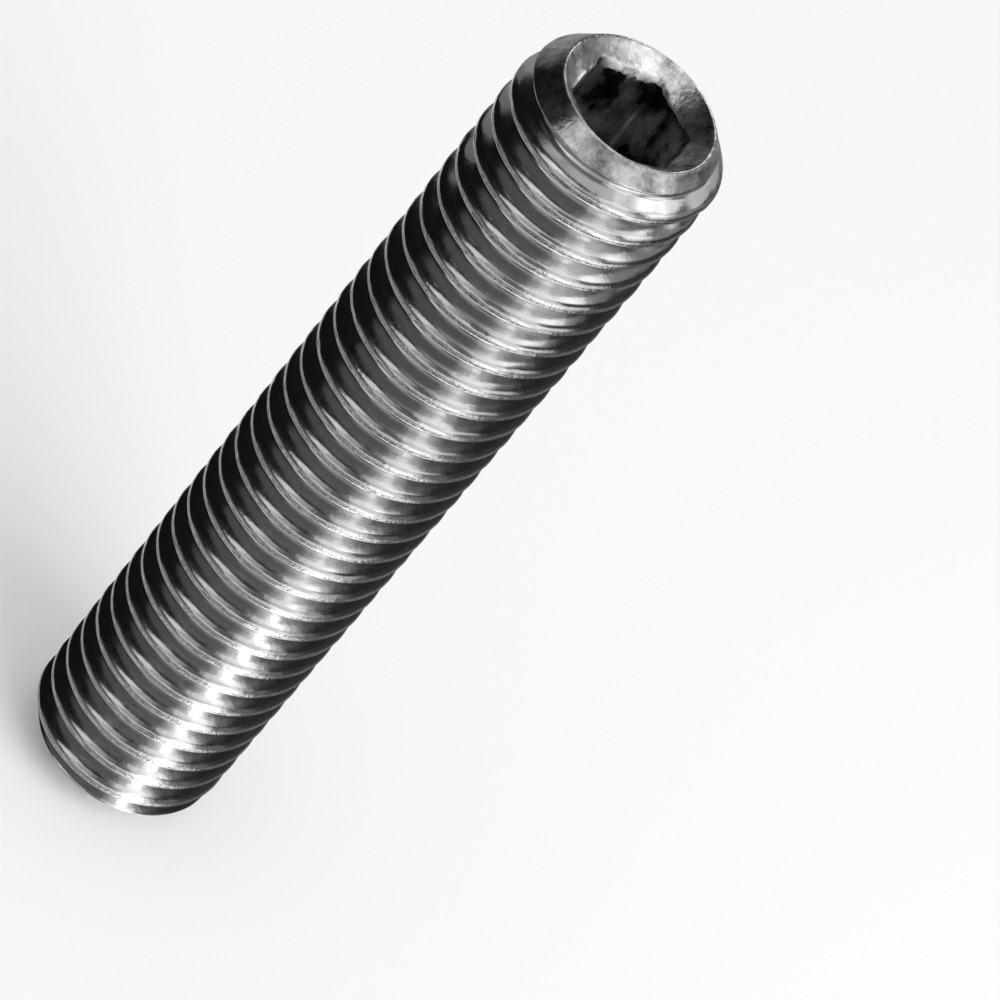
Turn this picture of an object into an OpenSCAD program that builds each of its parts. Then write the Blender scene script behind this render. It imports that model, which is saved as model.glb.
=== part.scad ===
// Grub set screw: headless, threaded over its whole length, with a hexagon socket in one end
// and a cup point on the other. It is turned and rolled as one piece of stainless steel.
// The screw stands on its cup point, with +Z up the screw toward the socket, in millimetres.

/* [Body] */
// Overall length, from the cup point's lip to the socket's rim
body_length = 40; // [12:0.5:50]

/* [Thread] */
// Nominal thread diameter
thread_d = 8; // [7.6:0.1:10]
// Distance from one crest to the next
thread_pitch = 1.25; // [1:0.05:1.5]
// How far the crests lie inside the nominal radius
crest_play = 0.065; // [0:0.005:0.1]
// Width of the flat along each crest
crest_flat = 0.2; // [0.1:0.01:0.3]
// Angle between the two flanks of the thread
flank_angle = 60; // [55:1:65]
// Width of the flat along the bottom of the groove
root_flat = 0.24; // [0.1:0.01:0.3]
// Turn of the thread about the screw's axis
thread_turn = 326; // [0:0.5:360]

/* [Socket end] */
// Outside diameter of the rim around the socket
rim_d = 5.94; // [5.5:0.02:6.4]
// Width of the rim's flat edge
rim_land = 0.1; // [0.05:0.01:0.2]
// Slope of the outer chamfer, from the end face
rim_chamfer_angle = 51; // [30:1:60]
// Full angle of the countersink that leads into the hexagon
countersink_angle = 90; // [80:1:120]
// Distance across the flats of the hexagon
hex_across_flats = 4.04; // [3:0.02:4.6]
// Depth of the full hexagon, from the rim
socket_depth = 5; // [3:0.1:8]
// How much wider than the flats the hole is drilled, before the hexagon is broached
drill_play = 0.06; // [0:0.01:0.2]
// Full angle of the drill's point at the bottom of the socket
drill_angle = 118; // [90:1:140]

/* [Cup point] */
// Outside diameter of the cup's lip
cup_d = 4.8; // [4:0.05:5.4]
// Width of the lip's flat edge
cup_land = 0.15; // [0.05:0.01:0.3]
// Slope of the outer chamfer, from the end face
cup_chamfer_angle = 45; // [30:1:60]
// Full angle of the hollow in the cup point
cup_angle = 118; // [90:1:140]

/* [Smoothness] */
// Straight pieces in each turn of the thread
turn_steps = 30; // [16:2:36]

/* [Hidden] */
$fn = 96;
// A small overshoot, so that no cut ends exactly on a face
over = 0.05;

// Along the screw, each pitch is a crest flat, a root flat and two flanks
flank_run = (thread_pitch - crest_flat - root_flat) / 2;
crest_r = thread_d / 2 - crest_play;
root_r = crest_r - flank_run / tan(flank_angle / 2);

// The thread's surface starts and ends this many turns outside the body, where it is cut away
spare_turns = 1.5;
first_z = -spare_turns * thread_pitch;
step_count = turn_steps * ceil(body_length / thread_pitch + 2 * spare_turns);

rim_r = rim_d / 2;
mouth_r = rim_r - rim_land;
lip_r = cup_d / 2;
cup_r = lip_r - cup_land;
// The outer chamfers run out past the crests, to this radius
blank_r = crest_r + over;

// One step of the helix is a cut across the thread from one root to the next:
// root, crest, crest, root. The next turn's cut starts where the root flat ends.
cut_radii = [root_r, crest_r, crest_r, root_r];
cut_heights = [0, flank_run, flank_run + crest_flat, 2 * flank_run + crest_flat];
cut_size = len(cut_radii);

function cut_point(step, k) =
    let (angle = thread_turn + 360 * step / turn_steps,
         rise = first_z + thread_pitch * step / turn_steps)
    [cut_radii[k] * cos(angle), cut_radii[k] * sin(angle), rise + cut_heights[k]];

function at(step, k) = step * cut_size + k;

// Points along the open edge that one end of the helical surface leaves: one whole turn of it,
// then straight along the cut that closes the turn
function low_edge() = concat(
    [for (step = [0 : turn_steps]) at(step, 0)],
    [for (k = [cut_size - 1 : -1 : 1]) at(0, k)]);
function high_edge() = concat(
    [for (step = [step_count : -1 : step_count - turn_steps]) at(step, cut_size - 1)],
    [for (k = [0 : cut_size - 2]) at(step_count, k)]);

function fan(edge, centre) =
    [for (i = [0 : len(edge) - 1]) [edge[i], edge[(i + 1) % len(edge)], centre]];

module thread_solid() {
    helix = [for (step = [0 : step_count], k = [0 : cut_size - 1]) cut_point(step, k)];
    low_centre = [0, 0, first_z + thread_pitch / 2];
    high_centre = [0, 0, first_z + thread_pitch * (step_count / turn_steps + 1 / 2)];
    ridge = [for (step = [0 : step_count - 1], k = [0 : cut_size - 2])
        [at(step, k), at(step, k + 1), at(step + 1, k + 1), at(step + 1, k)]];
    root = [for (step = [0 : step_count - turn_steps - 1])
        [at(step, cut_size - 1), at(step + turn_steps, 0),
         at(step + turn_steps + 1, 0), at(step + 1, cut_size - 1)]];
    polyhedron(
        points = concat(helix, [low_centre, high_centre]),
        faces = concat(ridge, root, fan(low_edge(), len(helix)), fan(high_edge(), len(helix) + 1)),
        convexity = 10);
}

// The turned blank: its two end faces and the chamfers that the thread runs out into
module blank() {
    cup_rise = (blank_r - lip_r) * tan(cup_chamfer_angle);
    rim_drop = (blank_r - rim_r) * tan(rim_chamfer_angle);
    rotate_extrude()
        polygon([[0, 0], [lip_r, 0], [blank_r, cup_rise],
                 [blank_r, body_length - rim_drop], [rim_r, body_length], [0, body_length]]);
}

// The hollow cone of the cup point, which opens downward
module cup() {
    slope = tan(cup_angle / 2);
    rotate_extrude()
        polygon([[0, -over], [cup_r + over * slope, -over], [0, cup_r / slope]]);
}

// The drilled hole with its countersink, and the hexagon broached through it
module socket() {
    lead = tan(countersink_angle / 2);
    drill_r = (hex_across_flats + drill_play) / 2;
    point_depth = drill_r / tan(drill_angle / 2);
    translate([0, 0, body_length]) {
        rotate_extrude()
            polygon([[0, over], [mouth_r + over * lead, over],
                     [drill_r, -(mouth_r - drill_r) / lead], [drill_r, -socket_depth],
                     [0, -socket_depth - point_depth]]);
        translate([0, 0, -socket_depth])
            linear_extrude(socket_depth + over)
                hexagon();
    }
}

// Corners at the front and the back, flats at the two sides
module hexagon() {
    corner_r = hex_across_flats / 2 / cos(30);
    polygon([for (corner = [0 : 5]) corner_r * [sin(60 * corner), cos(60 * corner)]]);
}

module set_screw() {
    color([0.62, 0.62, 0.63])
        difference() {
            intersection() {
                thread_solid();
                blank();
            }
            cup();
            socket();
        }
}

set_screw();
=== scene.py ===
import math
import random

import bpy
import numpy as np
from mathutils import Matrix, Vector, noise


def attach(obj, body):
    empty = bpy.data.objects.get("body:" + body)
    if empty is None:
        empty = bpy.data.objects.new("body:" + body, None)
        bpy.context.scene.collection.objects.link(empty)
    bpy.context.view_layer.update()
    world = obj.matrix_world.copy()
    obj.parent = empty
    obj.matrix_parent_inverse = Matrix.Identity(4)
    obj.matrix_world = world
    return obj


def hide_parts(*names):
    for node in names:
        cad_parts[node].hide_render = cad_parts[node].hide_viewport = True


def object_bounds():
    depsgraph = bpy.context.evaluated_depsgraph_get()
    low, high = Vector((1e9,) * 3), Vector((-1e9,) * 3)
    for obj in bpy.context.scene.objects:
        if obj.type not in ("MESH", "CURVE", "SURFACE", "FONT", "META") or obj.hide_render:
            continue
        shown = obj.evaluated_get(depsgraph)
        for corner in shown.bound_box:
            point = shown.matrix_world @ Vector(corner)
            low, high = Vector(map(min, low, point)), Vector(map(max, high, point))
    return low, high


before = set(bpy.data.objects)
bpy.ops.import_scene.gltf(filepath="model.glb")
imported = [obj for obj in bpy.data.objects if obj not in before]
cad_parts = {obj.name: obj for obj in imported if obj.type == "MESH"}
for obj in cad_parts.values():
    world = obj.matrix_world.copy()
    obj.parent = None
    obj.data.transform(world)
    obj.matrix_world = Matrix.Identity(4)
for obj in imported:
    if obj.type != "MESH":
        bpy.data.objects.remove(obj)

mm = 0.001
cadLow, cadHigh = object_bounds()
bodyLength = (cadHigh.z - cadLow.z) / mm
crestRadius = (cadHigh.x - cadLow.x) / 2 / mm
print("frame loaded: %.2f mm long, crests %.2f mm across" % (bodyLength, 2 * crestRadius))


def hexColour(code):
    # sRGB hex to the linear colour that the shaders expect
    channels = [int(code[i:i + 2], 16) / 255 for i in (0, 2, 4)]
    linear = [c / 12.92 if c <= 0.04045 else ((c + 0.055) / 1.055) ** 2.4 for c in channels]
    return (*linear, 1.0)


def addNode(tree, kind, settings=None, links=None):
    # one node, its settings by property or by socket, and what feeds its sockets
    node = tree.nodes.new(kind)
    for name, value in (settings or {}).items():
        if isinstance(name, str) and name not in node.inputs:
            setattr(node, name, value)
        else:
            node.inputs[name].default_value = value
    for name, source in (links or {}).items():
        tree.links.new(source, node.inputs[name])
    return node


def newMaterial(name):
    material = bpy.data.materials.new(name)
    material.use_nodes = True
    material.node_tree.nodes.clear()
    return material, material.node_tree


# Camera: it looks down at the standing screw and is rolled, so that the screw leans to the right

view = {
    "target": (5.06, 0.0, 22.6),  # mm, the point at the middle of the picture
    "distance": 194.65,           # mm
    "elevation": 41.36,           # degrees above the horizon
    "roll": 40.69,                # degrees
    "lens": 198.0,                # mm
    "sensor": 36.0,               # mm across
    "clip": (0.01, 10.0),         # m
}


def makeCamera(settings):
    data = bpy.data.cameras.new("camera")
    data.sensor_width = settings["sensor"]
    data.lens = settings["lens"]
    data.clip_start, data.clip_end = settings["clip"]
    camera = bpy.data.objects.new("camera", data)
    bpy.context.collection.objects.link(camera)
    rise = math.radians(settings["elevation"])
    roll = math.radians(settings["roll"])
    back = Vector((0, -math.cos(rise), math.sin(rise)))
    level = Vector((1, 0, 0))
    upright = back.cross(level)
    right = level * math.cos(roll) + upright * math.sin(roll)
    up = back.cross(right)
    place = Matrix((right, up, back)).transposed().to_4x4()
    place.translation = (Vector(settings["target"]) + back * settings["distance"]) * mm
    camera.matrix_world = place
    bpy.context.scene.camera = camera


makeCamera(view)
print("camera placed")


# Screw: all sizes in mm, angles in degrees

setScrew = {
    # Thread
    "pitch": 1.25,
    "crestRise": 1.248,       # height of the lowest whole crest above the foot, on the +X side
    "crestHalf": 0.15,        # half of the crest's width, before its edges are rounded
    "flank": 30.0,            # slope of each flank from level
    "footEdge": 0.085,        # radius of the crest's edge toward the cup point
    "socketEdge": 0.34,       # radius of the crest's edge toward the socket, left full by the rolls
    "rootRadius": 0.155,
    "seamPlace": -0.05,       # where the two folds of rolled metal meet along the crest
    "seamHalf": 0.035,
    "seamDepth": 0.010,
    "footEdgeSteps": 3,       # straight pieces in each rounding
    "socketEdgeSteps": 5,
    "rootSteps": 4,
    "flankPoints": (2, 1),    # inside the flank above the crest and the one below the next crest
    "endFlankPoints": (6, 5),    # the same near the ends, where the chamfers cut the thread
    "endZone": 2.2,           # how far from an end that is
    "columns": 132,           # around the screw, a multiple of 12 so that corners meet a column

    # Wear: slow unevenness and nicks on the crests
    "footWear": 0.2,          # how worn the lowest point of the crest's edge is, up to 1
    "seamWear": 0.5,          # beside the seam; the seam itself gets 1, which also lays the painted shade along it
    "wearStep": 0.1,          # change of wear from one point to the next
    "wearReach": 0.3,         # from the crest toward the root
    "wearFade": 0.25,         # over which the wear sets in
    "spareEnd": 0.3,          # at each end that stays whole
    "wander": 0.008,          # slow unevenness of the crest
    "wanderMean": 0.6,        # share of it that is pressed in everywhere
    "wanderWaves": ((0.9, 1.0), (2.7, 0.5)),   # noise steps in a mm, and their strength
    "nicks": 900,
    "nickSeed": 8,
    "nickDepth": 0.03,
    "nickShare": (0.3, 1.0),  # of that depth, squared
    "nickOff": 0.12,          # above or below the middle of the crest
    "nickWidth": (0.06, 0.2),    # around the screw
    "nickHeight": (0.04, 0.09),  # along it

    # Socket end
    "rimRadius": 2.97,        # outer edge of the rim around the socket
    "rimLand": 0.1,
    "rimSlope": 51.0,         # outer chamfer, from the end face
    "countersink": 90.0,      # full angle
    "coneSteps": 9,
    "hexFlats": 4.04,
    "hexCorner": 0.07,        # softness of the hexagon's corners
    "mouthLift": 0.5,         # how far the broach straightened the edge between its corners
    "socketDepth": 5.0,
    "wallSteps": 22,
    "drillPlay": 0.06,
    "drillBlend": 0.01,       # softness where the broached wall runs out into the drilled one
    "drillPoint": 118.0,      # full angle
    "drillStep": 0.04,        # how far the drill's point starts below the hexagon
    "drillRings": (1.0, 0.97, 0.75, 0.5, 0.25, 0.08),         # shares of the drill's radius

    # Torn edge where the hexagon starts, as (angle, width, depth): widest at the back left
    "tear": ((0, 0.03, 0.05), (30, 0.03, 0.06), (60, 0.03, 0.06), (85, 0.12, 0.22),
             (110, 0.22, 0.36), (135, 0.22, 0.38), (150, 0.16, 0.46), (158, 0.11, 0.06),
             (180, 0.10, 0.04), (200, 0.09, 0.04), (210, 0.05, 0.05), (240, 0.03, 0.05),
             (360, 0.03, 0.05)),
    "tearSection": ((0.86, 0.09), (0.6, 0.34), (0.3, 0.66), (0.06, 0.95)),  # shares of the two
    "tearFoot": 1.06,         # share of the depth at which the wall starts
    "tearWidthWaves": (9, 0.8, 0.4),    # noise steps in a radian, mean share, change of it
    "tearDepthWaves": (11, 0.9, 0.5),

    # Cup point
    "cupRadius": 2.4,         # outer edge of the cup's lip
    "cupLand": 0.15,
    "cupSlope": 45.0,
    "cupPoint": 118.0,        # full angle
    "cupRings": (0.9, 0.75, 0.6, 0.45, 0.3, 0.18, 0.08, 0.03),  # shares of the hollow's radius
    "cupTip": 0.985,          # share of the hollow's full height at which its tip is rounded off

    # Both ends
    "chamferBlend": 0.03,     # softness where the chamfer cuts the thread
    "clearance": 0.012,       # the thread's points keep this far from the two end edges
    "edgeBreak": 0.05,        # how far the sharp end edges are rounded
    # and the points of each of those edges as shares of that: out from the axis, up
    "rimEdge": ((0.35, -0.45), (0.02, -0.14), (-0.4, 0.0)),
    "mouthEdge": ((0.4, 0.0), (0.0, -0.12), (-0.5, -0.6)),
    "lipEdge": ((0.35, 0.45), (0.02, 0.14), (-0.4, 0.0)),
    "hollowEdge": ((0.4, 0.0), (0.0, 0.1), (-0.6, 0.5)),
}


def arc(centre, radius, fromAngle, toAngle, steps, hollow=False):
    # points along a rounded edge as (along the axis, out from the axis)
    points = []
    for i in range(steps + 1):
        angle = math.radians(fromAngle + (toAngle - fromAngle) * i / steps)
        out = -math.cos(angle) if hollow else math.cos(angle)
        points.append((centre[0] + radius * math.sin(angle), centre[1] + radius * out))
    return points


def between(start, end, count):
    # points inside a straight stretch, without its two ends
    return [tuple(a + (b - a) * i / (count + 1) for a, b in zip(start, end))
            for i in range(1, count + 1)]


def threadCut(flankPoints):
    # one pitch of the thread's outline, from the crest's lower edge up to the next crest's, as
    # (along the axis, out from the axis, how worn; 1 on the seam also places the painted shade
    # there)
    steepness = 90 - setScrew["flank"]
    slope = math.tan(math.radians(steepness))
    half = setScrew["crestHalf"]
    lead = math.tan(math.radians(steepness / 2))
    footCentre = (-half + setScrew["footEdge"] * lead, crestRadius - setScrew["footEdge"])
    socketCentre = (half - setScrew["socketEdge"] * lead, crestRadius - setScrew["socketEdge"])
    apex = crestRadius - slope * (setScrew["pitch"] / 2 - half)
    rise = setScrew["rootRadius"] / math.cos(math.radians(steepness))
    rootCentre = (setScrew["pitch"] / 2, apex + rise)
    footEdge = arc(footCentre, setScrew["footEdge"], -steepness, 0, setScrew["footEdgeSteps"])
    seamAt = setScrew["seamPlace"]
    # the seam's middle gets a wear value of 1, which places the painted shade along the seam
    seam = [(seamAt - setScrew["seamHalf"], crestRadius, setScrew["seamWear"]),
            (seamAt, crestRadius - setScrew["seamDepth"], 1.0)]
    firstTurn = math.degrees(math.asin((seamAt + setScrew["seamHalf"] - socketCentre[0])
                                       / setScrew["socketEdge"]))
    socketEdge = arc(socketCentre, setScrew["socketEdge"], firstTurn, steepness,
                     setScrew["socketEdgeSteps"])
    root = arc(rootCentre, setScrew["rootRadius"], -steepness, steepness, setScrew["rootSteps"],
               hollow=True)
    nextEdge = (footEdge[0][0] + setScrew["pitch"], footEdge[0][1])
    upFlank = between(socketEdge[-1], root[0], flankPoints[0])
    downFlank = between(root[-1], nextEdge, flankPoints[1])
    step = setScrew["wearStep"]
    cut = [(*p, setScrew["footWear"] + step * i) for i, p in enumerate(footEdge)] + seam
    cut += [(*p, max(0.0, setScrew["seamWear"] - step * i)) for i, p in enumerate(socketEdge)]
    cut += [(*p, 0.0) for p in upFlank + root + downFlank]
    return cut


def softMin(a, b, blend):
    # the smaller of two values, with a rounded change from one to the other
    h = min(1.0, max(0.0, 0.5 + 0.5 * (b - a) / blend))
    return b + (a - b) * h - blend * h * (1 - h)


def softMax(a, b, blend):
    return -softMin(-a, -b, blend)


def socketRadius(angle):
    # distance from the axis to the broached wall; the corners point to +Y and -Y
    sixth = math.pi / 3
    off = (angle + sixth / 2) % sixth - sixth / 2
    flat = setScrew["hexFlats"] / 2
    corner = flat / math.cos(sixth / 2)
    wall = softMin(flat / math.cos(off), corner - setScrew["hexCorner"] / 3, setScrew["hexCorner"])
    return softMax(wall, (setScrew["hexFlats"] + setScrew["drillPlay"]) / 2, setScrew["drillBlend"])


def torn(angle, column):
    # width (column 1) or depth (column 2) of the torn edge at an angle
    degrees = math.degrees(angle) % 360
    for low, high in zip(setScrew["tear"], setScrew["tear"][1:]):
        if degrees <= high[0]:
            share = (degrees - low[0]) / (high[0] - low[0])
            return low[column] + (high[column] - low[column]) * share
    return setScrew["tear"][-1][column]


def tearWidth(angle):
    steps, mean, change = setScrew["tearWidthWaves"]
    return torn(angle, 1) * (mean + change * noise.noise(Vector((steps * angle, 0, 0))))


def tearDepth(angle):
    steps, mean, change = setScrew["tearDepthWaves"]
    return torn(angle, 2) * (mean + change * noise.noise(Vector((0, steps * angle, 4))))


def ringPoint(radius, angle, height):
    return (radius * math.cos(angle), radius * math.sin(angle), height)


def brokenEdge(radius, height, shares):
    # the points of an end edge that is rounded by edgeBreak
    soft = setScrew["edgeBreak"]
    return [(radius + out * soft, height + up * soft) for out, up in shares]


class Surface:
    # collects points and faces, with the finish of each face and each point's wear value, which on
    # the seam also places the painted shade
    def __init__(self, columns):
        self.columns = columns
        self.points, self.wear, self.faces, self.finish = [], [], [], []

    def point(self, place, wear=0.0):
        self.points.append(place)
        self.wear.append(wear)
        return len(self.points) - 1

    def face(self, corners, finish):
        self.faces.append(corners)
        self.finish.append(finish)

    def ring(self, radii, heights):
        step = 2 * math.pi / self.columns
        return [self.point(ringPoint(radii(j * step), j * step, heights(j * step)))
                for j in range(self.columns)]

    def bridge(self, lower, upper, finish):
        for j in range(self.columns):
            k = (j + 1) % self.columns
            self.face([lower[j], lower[k], upper[k], upper[j]], finish)

    def close(self, ring, centre, finish, upward):
        for j in range(self.columns):
            k = (j + 1) % self.columns
            self.face([ring[j], ring[k], centre] if upward else [centre, ring[k], ring[j]], finish)


rolled, turned, broached = range(3)      # the finishes, in the order of the screw's materials
footKey, headKey = -99.0, 99.0           # the end points of a column, outside the thread's own


def chamferRadius(height):
    # radius that the outer chamfers leave at a height
    rimSlope = math.tan(math.radians(setScrew["rimSlope"]))
    cupSlope = math.tan(math.radians(setScrew["cupSlope"]))
    rim = setScrew["rimRadius"] + (bodyLength - height) / rimSlope
    foot = setScrew["cupRadius"] + height / cupSlope
    return min(rim, foot)


def addThread(surface):
    # columns of points that follow the helix, cut off level just inside the two end edges
    lowest, highest = setScrew["edgeBreak"], bodyLength - setScrew["edgeBreak"]
    coarse, fine = threadCut(setScrew["flankPoints"]), threadCut(setScrew["endFlankPoints"])
    turns = range(-2, int(bodyLength / setScrew["pitch"]) + 2)
    stacks, cutByChamfer = [], {}
    for j in range(surface.columns):
        angle = 2 * math.pi * j / surface.columns
        foot = surface.point(ringPoint(chamferRadius(lowest), angle, lowest))
        stack = [(footKey, foot)]
        cutByChamfer[foot] = True
        for turn in turns:
            base = setScrew["crestRise"] + setScrew["pitch"] * (turn + j / surface.columns)
            nearEnd = base < setScrew["endZone"] or base > bodyLength - setScrew["endZone"]
            for along, out, wear in (fine if nearEnd else coarse):
                height = base + along
                if not lowest + setScrew["clearance"] < height < highest - setScrew["clearance"]:
                    continue
                limit = chamferRadius(height)
                radius = softMin(out, limit, setScrew["chamferBlend"])
                index = surface.point(ringPoint(radius, angle, height), wear * (limit > out))
                cutByChamfer[index] = limit < out
                stack.append((round(turn * setScrew["pitch"] + along, 5), index))
        top = surface.point(ringPoint(chamferRadius(highest), angle, highest))
        cutByChamfer[top] = True
        stack.append((headKey, top))
        stacks.append(stack)
    # the last column meets the first one a turn further up
    nextTurn = [(key if key in (footKey, headKey) else round(key - setScrew["pitch"], 5), index)
                for key, index in stacks[0]]
    for left, right in zip(stacks, stacks[1:] + [nextTurn]):
        joinColumns(surface, left, right, cutByChamfer)
    return [s[0][1] for s in stacks], [s[-1][1] for s in stacks]


def joinColumns(surface, left, right, cutByChamfer):
    # one face between each two keys that both columns have; a finer column adds corners to it
    leftAt = {key: place for place, (key, _) in enumerate(left)}
    rightAt = {key: place for place, (key, _) in enumerate(right)}
    shared = sorted(set(leftAt) & set(rightAt))
    for low, high in zip(shared, shared[1:]):
        leftPart = [i for _, i in left[leftAt[low]:leftAt[high] + 1]]
        rightPart = [i for _, i in right[rightAt[low]:rightAt[high] + 1]]
        corners = [leftPart[0]] + rightPart + leftPart[:0:-1]
        onChamfer = sum(cutByChamfer[i] for i in corners) * 2 > len(corners)
        surface.face(corners, turned if onChamfer else rolled)


def addSocket(surface, outerRing):
    # over the rim, down the countersink, down the hexagon and into the drill's point
    rim = setScrew["rimRadius"]
    edge = (brokenEdge(rim, bodyLength, setScrew["rimEdge"])
            + brokenEdge(rim - setScrew["rimLand"], bodyLength, setScrew["mouthEdge"]))
    coneTop, coneTopHeight = edge[-1]
    lead = math.tan(math.radians(setScrew["countersink"] / 2))
    corner = setScrew["hexFlats"] / 2 / math.cos(math.pi / 6)
    bottom = bodyLength - setScrew["socketDepth"]

    def coneRadius(angle, share):
        return coneTop + (socketRadius(angle) + tearWidth(angle) - coneTop) * share

    def coneHeight(angle, share):
        lift = setScrew["mouthLift"] * (corner - socketRadius(angle)) * share ** 2
        return coneTopHeight - (coneTop - coneRadius(angle, share)) / lead + lift

    def tearHeight(angle, share):
        return coneHeight(angle, 1.0) - share * tearDepth(angle)

    def wallHeight(angle, share):
        first = tearHeight(angle, setScrew["tearFoot"])
        return first + (bottom - first) * share

    rings = [outerRing]
    for radius, height in edge:
        rings.append(surface.ring(lambda a, r=radius: r, lambda a, h=height: h))
    for i in range(1, setScrew["coneSteps"] + 1):
        rings.append(surface.ring(lambda a, s=i / setScrew["coneSteps"]: coneRadius(a, s),
                                  lambda a, s=i / setScrew["coneSteps"]: coneHeight(a, s)))
    for width, depth in setScrew["tearSection"]:
        rings.append(surface.ring(lambda a, w=width: socketRadius(a) + w * tearWidth(a),
                                  lambda a, d=depth: tearHeight(a, d)))
    for lower, upper in zip(rings, rings[1:]):
        surface.bridge(lower, upper, turned)

    walls = [rings[-1]]
    for i in range(setScrew["wallSteps"] + 1):
        walls.append(surface.ring(socketRadius,
                                  lambda a, s=i / setScrew["wallSteps"]: wallHeight(a, s)))
    for lower, upper in zip(walls, walls[1:]):
        surface.bridge(lower, upper, broached)

    drillRadius = (setScrew["hexFlats"] + setScrew["drillPlay"]) / 2
    pointSlope = math.tan(math.radians(setScrew["drillPoint"] / 2))
    pointTop = bottom - setScrew["drillStep"]
    last = walls[-1]
    for share in setScrew["drillRings"]:
        height = pointTop - drillRadius * (1 - share) / pointSlope
        ring = surface.ring(lambda a, r=drillRadius * share: min(r, socketRadius(a)),
                            lambda a, h=height: h)
        surface.bridge(last, ring, turned)
        last = ring
    tip = surface.point((0, 0, pointTop - drillRadius / pointSlope))
    surface.close(last, tip, turned, True)


def addCup(surface, outerRing):
    # under the lip and up the hollow cone of the cup point
    lip = setScrew["cupRadius"]
    slope = math.tan(math.radians(setScrew["cupPoint"] / 2))
    edge = brokenEdge(lip, 0, setScrew["lipEdge"])
    edge += brokenEdge(lip - setScrew["cupLand"], 0, setScrew["hollowEdge"])
    foot, footHeight = edge[-1]
    for share in setScrew["cupRings"]:
        edge.append((foot * share, footHeight + foot * (1 - share) / slope))
    last = outerRing
    for radius, height in edge:
        ring = surface.ring(lambda a, r=radius: r, lambda a, h=height: h)
        surface.bridge(ring, last, turned)
        last = ring
    tip = surface.point((0, 0, footHeight + foot * setScrew["cupTip"] / slope))
    surface.close(last, tip, turned, False)


def wearCrests(points):
    # slow unevenness and small nicks, pressed in toward the axis on the crests alone
    place = np.array(points)
    radius = np.hypot(place[:, 0], place[:, 1])
    angle = np.arctan2(place[:, 1], place[:, 0])
    height = place[:, 2]
    onCrest = np.clip((radius - (crestRadius - setScrew["wearReach"])) / setScrew["wearFade"], 0, 1)
    inside = (height > setScrew["spareEnd"]) & (height < bodyLength - setScrew["spareEnd"])
    wander = np.array([sum(strength * noise.noise(Vector(p) * steps)
                           for steps, strength in setScrew["wanderWaves"]) for p in points])
    press = np.clip(setScrew["wander"] * (setScrew["wanderMean"] + wander), 0, None) * onCrest
    draw = random.Random(setScrew["nickSeed"])
    lastTurn = bodyLength / setScrew["pitch"] - 2
    for _ in range(setScrew["nicks"]):
        along = draw.uniform(1, lastTurn)
        nickAngle = (along % 1) * 2 * math.pi
        off = draw.uniform(-setScrew["nickOff"], setScrew["nickOff"])
        nickAt = setScrew["crestRise"] + setScrew["pitch"] * along + off
        wide = draw.uniform(*setScrew["nickWidth"])
        tall = draw.uniform(*setScrew["nickHeight"])
        depth = setScrew["nickDepth"] * draw.uniform(*setScrew["nickShare"]) ** 2
        turn = (angle - nickAngle + math.pi) % (2 * math.pi) - math.pi
        away = (turn * crestRadius / wide) ** 2 + ((height - nickAt) / tall) ** 2
        press += depth * np.exp(-away) * onCrest
    keep = 1 - press * inside / np.maximum(radius, 1.0)
    place[:, 0] *= keep
    place[:, 1] *= keep
    return place


def makeScrew():
    surface = Surface(setScrew["columns"])
    foot, head = addThread(surface)
    addSocket(surface, head)
    addCup(surface, foot)
    place = wearCrests(surface.points) * mm
    mesh = bpy.data.meshes.new("setScrew")
    mesh.from_pydata(place.tolist(), [], surface.faces)
    mesh.polygons.foreach_set("material_index", surface.finish)
    mesh.polygons.foreach_set("use_smooth", [True] * len(surface.faces))
    wear = mesh.attributes.new("wear", "FLOAT", "POINT")
    wear.data.foreach_set("value", surface.wear)
    mesh.validate()
    mesh.update()
    screw = bpy.data.objects.new("setScrew", mesh)
    bpy.context.collection.objects.link(screw)
    print("screw built: %d triangles" % sum(len(f) - 2 for f in surface.faces))
    return screw


screw = makeScrew()


# Steel: the whole screw is one bright austenitic stainless steel, with three finishes. Each
# pattern is noise whose features have a size in mm along X, Y and Z. It makes relief where it has
# a depth in mm. A spread turns the noise between its first two values into the last two, and a
# pattern with a wornAndShaded range sets in as the crest's wear goes from the first value to the
# second.
# The dark colour is a real stain on the turned faces, and painted shade on the thread's seam and
# in the socket.

bareSteel = "b6b6b5"

# Stainless steel, thread rolled between dies: smooth bright flanks with faint streaks along the
# thread and a slight ripple, a rough crest, and dark pits along the crest's seam that are painted
# shade in the crease where the metal folded together
threadRolled = {
    "stainAndShadeColour": "211f1d",  # painted shade in the crease of the crest's seam
    "ringed": 0.0,
    "patterns": {
        # painted shade: near-black dots along the seam, let in where the seam's wear value nears 1
        "stainAndShade": {"size": (0.09, 0.09, 0.09), "detail": 2.0, "gain": 0.5,
                  "spread": (0.47, 0.54, 0.0, 1.0), "wornAndShaded": (0.55, 0.85)},
        "gloss": {"size": (0.4545, 0.4545, 0.4545), "detail": 4.0, "gain": 0.6,
                  "spread": (0.3, 0.7, 0.14, 0.22)},
        # the rolling marks, drawn wider than the real ones so that they show
        "streaks": {"size": (1.667, 1.667, 0.05), "detail": 3.0, "gain": 0.6, "depth": 0.0012},
        # the faint orange peel of pressed metal
        "ripple": {"size": (0.22, 0.22, 0.22), "detail": 3.0, "gain": 0.55, "depth": 0.005},
        "burrs": {"size": (0.13, 0.13, 0.13), "detail": 2.0, "gain": 0.6, "depth": 0.020,
                  "wornAndShaded": (0.15, 0.5)},
    },
}

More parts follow.
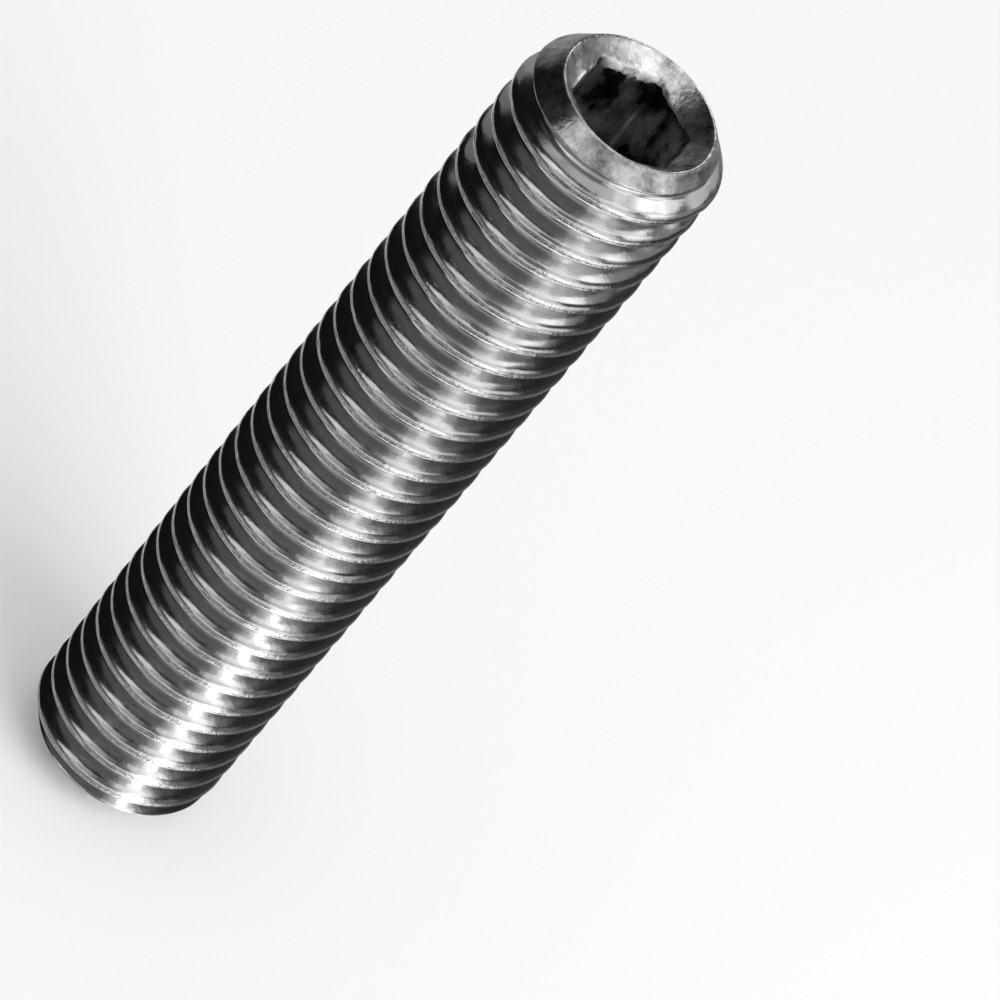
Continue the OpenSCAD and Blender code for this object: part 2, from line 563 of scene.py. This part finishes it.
# Stainless steel, faced and chamfered on a lathe: fine rings around the axis that spread light
# across themselves, slightly duller than the thread, and blotched where the tool tore the
# surface and oil dried on it
latheTurned = {
    "stainAndShadeColour": "4c4845",  # dried oil
    "ringed": 0.6,            # how much more the light spreads across the rings
    "patterns": {
        "stainAndShade": {"size": (0.6667, 0.6667, 0.4545), "detail": 8.0, "gain": 0.72,
                  "spread": (0.44, 0.68, 0.0, 0.85)},
        "gloss": {"size": (0.4545, 0.4545, 0.4545), "detail": 4.0, "gain": 0.6,
                  "spread": (0.3, 0.7, 0.24, 0.36)},
        # the tool's feed, 0.09 mm a turn
        "rings": {"size": (2.0, 2.0, 0.09), "detail": 2.0, "gain": 0.5, "depth": 0.002},
        "mottle": {"size": (0.28, 0.28, 0.28), "detail": 2.0, "gain": 0.5, "depth": 0.020},
    },
}

# Stainless steel, hexagon broached: dull walls scored along the axis by the broach, coloured near
# black in large patches as painted shade of the deep socket, between random bare patches
hexBroached = {
    "stainAndShadeColour": "262321",  # painted shade of the deep socket
    "ringed": 0.0,
    "patterns": {
        # painted shade: the noise is turned over, so large parts of the wall take the dark colour
        # between random bare patches
        "stainAndShade": {"size": (1.111, 1.111, 2.0), "detail": 4.0, "gain": 0.6,
                  "spread": (0.40, 0.62, 1.0, 0.0)},
        "gloss": {"size": (0.4545, 0.4545, 0.4545), "detail": 4.0, "gain": 0.6,
                  "spread": (0.3, 0.7, 0.37, 0.53)},
        "scores": {"size": (0.11, 0.11, 2.0), "detail": 3.0, "gain": 0.6, "depth": 0.012},
        "dents": {"size": (0.25, 0.25, 0.25), "detail": 2.0, "gain": 0.5, "depth": 0.020},
    },
}


def makeSteel(name, finish):
    # bare metal with its stains and painted shade, its relief and its uneven gloss
    material, tree = newMaterial(name)
    place = addNode(tree, "ShaderNodeTexCoord")
    values = {}
    height = None
    for pattern, look in finish["patterns"].items():
        scaled = addNode(tree, "ShaderNodeMapping",
                         {"Scale": tuple(1 / size / mm for size in look["size"])},
                         {"Vector": place.outputs["Object"]})
        value = addNode(tree, "ShaderNodeTexNoise",
                        {"Scale": 1.0, "Detail": look["detail"], "Roughness": look["gain"]},
                        {"Vector": scaled.outputs["Vector"]}).outputs["Fac"]
        if "spread" in look:
            fromLow, fromHigh, toLow, toHigh = look["spread"]
            value = addNode(tree, "ShaderNodeMapRange",
                            {"From Min": fromLow, "From Max": fromHigh,
                             "To Min": toLow, "To Max": toHigh},
                            {"Value": value}).outputs["Result"]
        if "wornAndShaded" in look:
            wear = addNode(tree, "ShaderNodeAttribute", {"attribute_name": "wear"})
            wornAndShaded = addNode(tree, "ShaderNodeMapRange",
                           {"From Min": look["wornAndShaded"][0], "From Max": look["wornAndShaded"][1]},
                           {"Value": wear.outputs["Fac"]})
            value = addNode(tree, "ShaderNodeMath", {"operation": "MULTIPLY"},
                            {0: value, 1: wornAndShaded.outputs["Result"]}).outputs[0]
        if "depth" in look:
            below = {} if height is None else {2: height}
            height = addNode(tree, "ShaderNodeMath",
                             {"operation": "MULTIPLY_ADD", 1: look["depth"], 2: 0.0},
                             {0: value, **below}).outputs[0]
        values[pattern] = value
    relief = addNode(tree, "ShaderNodeBump", {"Strength": 1.0, "Distance": mm},
                     {"Height": height})
    # the Mix node's factor, its two colours and its colour output
    colour = addNode(tree, "ShaderNodeMix",
                     {"data_type": "RGBA", 6: hexColour(bareSteel),
                      7: hexColour(finish["stainAndShadeColour"])},
                     {0: values["stainAndShade"]}).outputs[2]
    shader = addNode(tree, "ShaderNodeBsdfPrincipled", {"Metallic": 1.0},
                     {"Base Color": colour, "Roughness": values["gloss"],
                      "Normal": relief.outputs["Normal"]})
    if finish["ringed"]:
        around = addNode(tree, "ShaderNodeTangent", {"direction_type": "RADIAL", "axis": "Z"})
        tree.links.new(around.outputs["Tangent"], shader.inputs["Tangent"])
        shader.inputs["Anisotropic"].default_value = finish["ringed"]
        shader.inputs["Anisotropic Rotation"].default_value = 0.25   # a quarter turn
    addNode(tree, "ShaderNodeOutputMaterial", {}, {"Surface": shader.outputs["BSDF"]})
    return material


screw.data.materials.append(makeSteel("stainlessSteelThreadRolled", threadRolled))
screw.data.materials.append(makeSteel("stainlessSteelTurned", latheTurned))
screw.data.materials.append(makeSteel("stainlessSteelBroached", hexBroached))
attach(screw, "root")
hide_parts("set_screw")
print("steel finishes made")


# Studio: a pale floor, a soft light, and cards that only the metal's reflections show

studio = {
    "floorSize": 1.6,         # m
    "floorColour": "f7f7f6",
    "worldLevel": 0.75,
    "lampSize": 0.30,         # m
    "lampPower": 0.9,         # W
    "lampAzimuth": 62.0,      # degrees from the camera's side toward +X
    "lampElevation": 42.0,
    "lampDistance": 0.42,     # m
    "cardRadius": 450,        # mm
    "cardGrid": (24, 12),     # faces across and up each card
}

# Each card is a patch of a large sphere around the screw's middle: its name, azimuth from and to
# in degrees from the camera's side toward +X, elevation from and to, and its grey level
cards = [
    ("cardGroundLeft", -180, -75, -90, -45, 0.70),
    ("cardGroundFront", -75, 28, -90, -45, 0.80),
    ("cardGroundStrip", 28, 100, -90, -45, 1.9),
    ("cardGroundRight", 100, 180, -90, -45, 0.10),
    ("cardLowBack", -180, -140, -45, -28, 1.2),
    ("cardLowLeft", -140, -48, -45, -28, 0.55),
    ("cardLowFrontLeft", -48, -25, -45, -28, 0.85),
    ("cardLowFront", -25, 28, -45, -28, 0.55),
    ("cardLowStrip", 28, 60, -45, -30, 1.1),
    ("cardLowStripRight", 60, 82, -45, -30, 1.7),
    ("cardLowRight", 82, 180, -45, -30, 0.30),
    ("cardFrontDim", -48, 28, -28, -1, 0.28),
    ("cardFrontLeftDark", -48, -25, -1, 18, 0.10),
    ("cardFrontLeft", -48, -25, 18, 62, 1.25),
    ("cardFront", -25, 28, -1, 18, 1.1),
    ("cardFrontUpper", -25, 0, 18, 62, 0.60),
    ("cardFrontUpperRight", 0, 28, 18, 62, 0.15),
    ("cardStripFoot", 28, 40, -30, -10, 0.80),
    ("cardStripFootMiddle", 40, 64, -30, -10, 1.7),
    ("cardStripFootRight", 64, 78, -30, -10, 0.8),
    ("cardStripNear", 28, 40, -10, 30, 1.9),
    ("cardStripNearer", 40, 42, -10, 10, 1.9),
    ("cardStripBright", 42, 50, -10, 10, 4.8),
    ("cardStripMiddle", 40, 64, 10, 50, 1.3),
    ("cardStripSide", 50, 64, -10, 10, 1.2),
    ("cardStripUpper", 28, 40, 30, 50, 0.90),
    ("cardStripHigh", 28, 52, 50, 72, 1.4),
    ("cardStripHighRight", 52, 78, 50, 72, 1.8),
    ("cardRightDim", 64, 90, -10, 30, 0.22),
    ("cardRightDark", 64, 180, 30, 50, 0.03),
    ("cardRightHigh", 78, 180, 50, 72, 0.15),
    ("cardBackRight", 90, 180, -10, 30, 0.06),
    ("cardBackRightLow", 78, 180, -30, -10, 0.15),
    ("cardTopLeft", -180, -75, 62, 90, 0.60),
    ("cardTopFront", -75, 28, 62, 90, 0.03),
    ("cardTopStrip", 28, 75, 72, 90, 0.05),
    ("cardTopRight", 75, 180, 72, 90, 0.70),
    ("cardLeftLow", -75, -48, -28, 0, 0.28),
    ("cardLeft", -140, -75, -28, 62, 0.01),
    ("cardLeftFront", -75, -48, 0, 62, 0.02),
    ("cardBackLeft", -180, -140, -28, 62, 0.20),
]

# See-through glows close to the screw add their level to what lies behind them. Each group is
# around the height on the axis that it mostly lights, at a radius, both in mm.
glows = [
    (bodyLength, 9, [
        ("glowRightChamfer", 60, 80, -4, 28, 0.95),
        ("glowRight", 80, 112, -6, 20, 0.30),
        ("glowRightHigh", 84, 110, 26, 48, 1.5),
        ("glowBackRight", 106, 130, 10, 34, 0.90),
        ("glowBack", 126, 146, 0, 20, 0.60),
        ("glowBackBright", 146, 160, 5, 14, 0.9),
        ("glowBackLow", 110, 150, -16, 0, 0.18),
        ("glowBackFoot", 145, 156, -32, -8, 0.20),
        ("glowBackFootLeft", 156, 178, -36, -8, 0.50),
        ("glowBackLeft", -165, -105, -24, 8, 0.26),
        ("glowFrontLeft", -58, -26, 48, 66, 0.45),
        ("glowFrontLow", -26, 28, 12, 34, 0.45),
        ("glowFront", -26, 28, 50, 72, 0.75),
        ("glowFrontRight", 28, 60, 48, 68, 0.75),
        ("glowTopRight", 60, 84, 38, 60, 1.5),
        ("glowRim", 160, 195, 18, 33, 4.0),
        ("glowTopBack", 92, 145, 44, 74, 1.0),
        ("glowOverhead", -180, 180, 74, 90, 3.2),
    ]),
    (34.0, 14, [
        ("glowRightCrest", 52, 71, -10, 13, 1.1),
        ("glowRightCrestEnd", 71, 80, -10, 13, 0.7),
        ("glowRightFlank", 66, 90, 38, 63, 1.15),
    ]),
    (4.5, 16, [
        ("glowFoot", 41.5, 47.5, -50, 36, 7.0),
        ("glowFootWide", 33, 54, -50, 34, 0.7),
        ("glowFootHigh", 46, 68, 40, 66, 0.5),
    ]),
]


def direction(azimuth, elevation):
    a, e = math.radians(azimuth), math.radians(elevation)
    return Vector((math.sin(a) * math.cos(e), -math.cos(a) * math.cos(e), math.sin(e)))


def glowMaterial(name, level, seeThrough):
    # a card's plain brightness, the same from all sides
    material, tree = newMaterial(name)
    light = addNode(tree, "ShaderNodeEmission",
                    {"Color": (1, 1, 1, 1), "Strength": level}).outputs["Emission"]
    if seeThrough:
        clear = addNode(tree, "ShaderNodeBsdfTransparent", {"Color": (1, 1, 1, 1)})
        light = addNode(tree, "ShaderNodeAddShader", {},
                        {0: light, 1: clear.outputs["BSDF"]}).outputs["Shader"]
    addNode(tree, "ShaderNodeOutputMaterial", {}, {"Surface": light})
    material.cycles.emission_sampling = "NONE"
    return material


def makeCard(patch, height, radius, seeThrough=False):
    # a piece of a sphere around a height on the screw's axis
    name, fromAzimuth, toAzimuth, fromElevation, toElevation, level = patch
    across, up = studio["cardGrid"]
    points, faces = [], []
    for i in range(up + 1):
        elevation = fromElevation + (toElevation - fromElevation) * i / up
        for k in range(across + 1):
            azimuth = fromAzimuth + (toAzimuth - fromAzimuth) * k / across
            points.append((direction(azimuth, elevation) * radius + Vector((0, 0, height))) * mm)
    for i in range(up):
        for k in range(across):
            first = i * (across + 1) + k
            faces.append((first, first + 1, first + across + 2, first + across + 1))
    mesh = bpy.data.meshes.new(name)
    mesh.from_pydata([tuple(p) for p in points], [], faces)
    mesh.materials.append(glowMaterial(name, level, seeThrough))
    card = bpy.data.objects.new(name, mesh)
    bpy.context.collection.objects.link(card)
    card.visible_camera = False
    card.visible_diffuse = False
    card.visible_shadow = False
    card.visible_transmission = False


def makeFloor():
    half = studio["floorSize"] / 2
    mesh = bpy.data.meshes.new("floor")
    mesh.from_pydata([(-half, -half, 0), (half, -half, 0), (half, half, 0), (-half, half, 0)],
                     [], [(0, 1, 2, 3)])
    floor = bpy.data.objects.new("floor", mesh)
    bpy.context.collection.objects.link(floor)
    material, tree = newMaterial("floorPaper")
    shader = addNode(tree, "ShaderNodeBsdfDiffuse", {"Color": hexColour(studio["floorColour"])})
    addNode(tree, "ShaderNodeOutputMaterial", {}, {"Surface": shader.outputs["BSDF"]})
    mesh.materials.append(material)
    floor.visible_glossy = False      # the cards below it take its place in the reflections


def makeLamp():
    data = bpy.data.lights.new("softbox", "AREA")
    data.shape = "SQUARE"
    data.size = studio["lampSize"]
    data.energy = studio["lampPower"]
    lamp = bpy.data.objects.new("softbox", data)
    bpy.context.collection.objects.link(lamp)
    toward = direction(studio["lampAzimuth"], studio["lampElevation"])
    lamp.location = toward * studio["lampDistance"]
    lamp.rotation_mode = "QUATERNION"
    lamp.rotation_quaternion = toward.to_track_quat("Z", "Y")
    lamp.visible_glossy = False


def makeWorld():
    # an even soft light; the camera and the reflections see it as a white background
    world = bpy.data.worlds.new("studio")
    bpy.context.scene.world = world
    world.use_nodes = True
    tree = world.node_tree
    tree.nodes.clear()
    path = addNode(tree, "ShaderNodeLightPath")
    seen = addNode(tree, "ShaderNodeMath", {"operation": "MAXIMUM"},
                   {0: path.outputs["Is Camera Ray"], 1: path.outputs["Is Glossy Ray"]})
    seenThrough = addNode(tree, "ShaderNodeMath", {"operation": "MAXIMUM"},
                          {0: seen.outputs[0], 1: path.outputs["Is Transmission Ray"]})
    level = addNode(tree, "ShaderNodeMapRange",
                    {"To Min": studio["worldLevel"], "To Max": 1.0},
                    {"Value": seenThrough.outputs[0]})
    back = addNode(tree, "ShaderNodeBackground", {"Color": (1, 1, 1, 1)},
                   {"Strength": level.outputs["Result"]})
    addNode(tree, "ShaderNodeOutputWorld", {}, {"Surface": back.outputs["Background"]})
    world.cycles.sampling_method = "NONE"


makeFloor()
makeLamp()
makeWorld()
for card in cards:
    makeCard(card, bodyLength / 2, studio["cardRadius"])
for height, radius, patches in glows:
    for patch in patches:
        makeCard(patch, height, radius, seeThrough=True)
bpy.context.scene.view_settings.view_transform = "Standard"
print("studio lit")
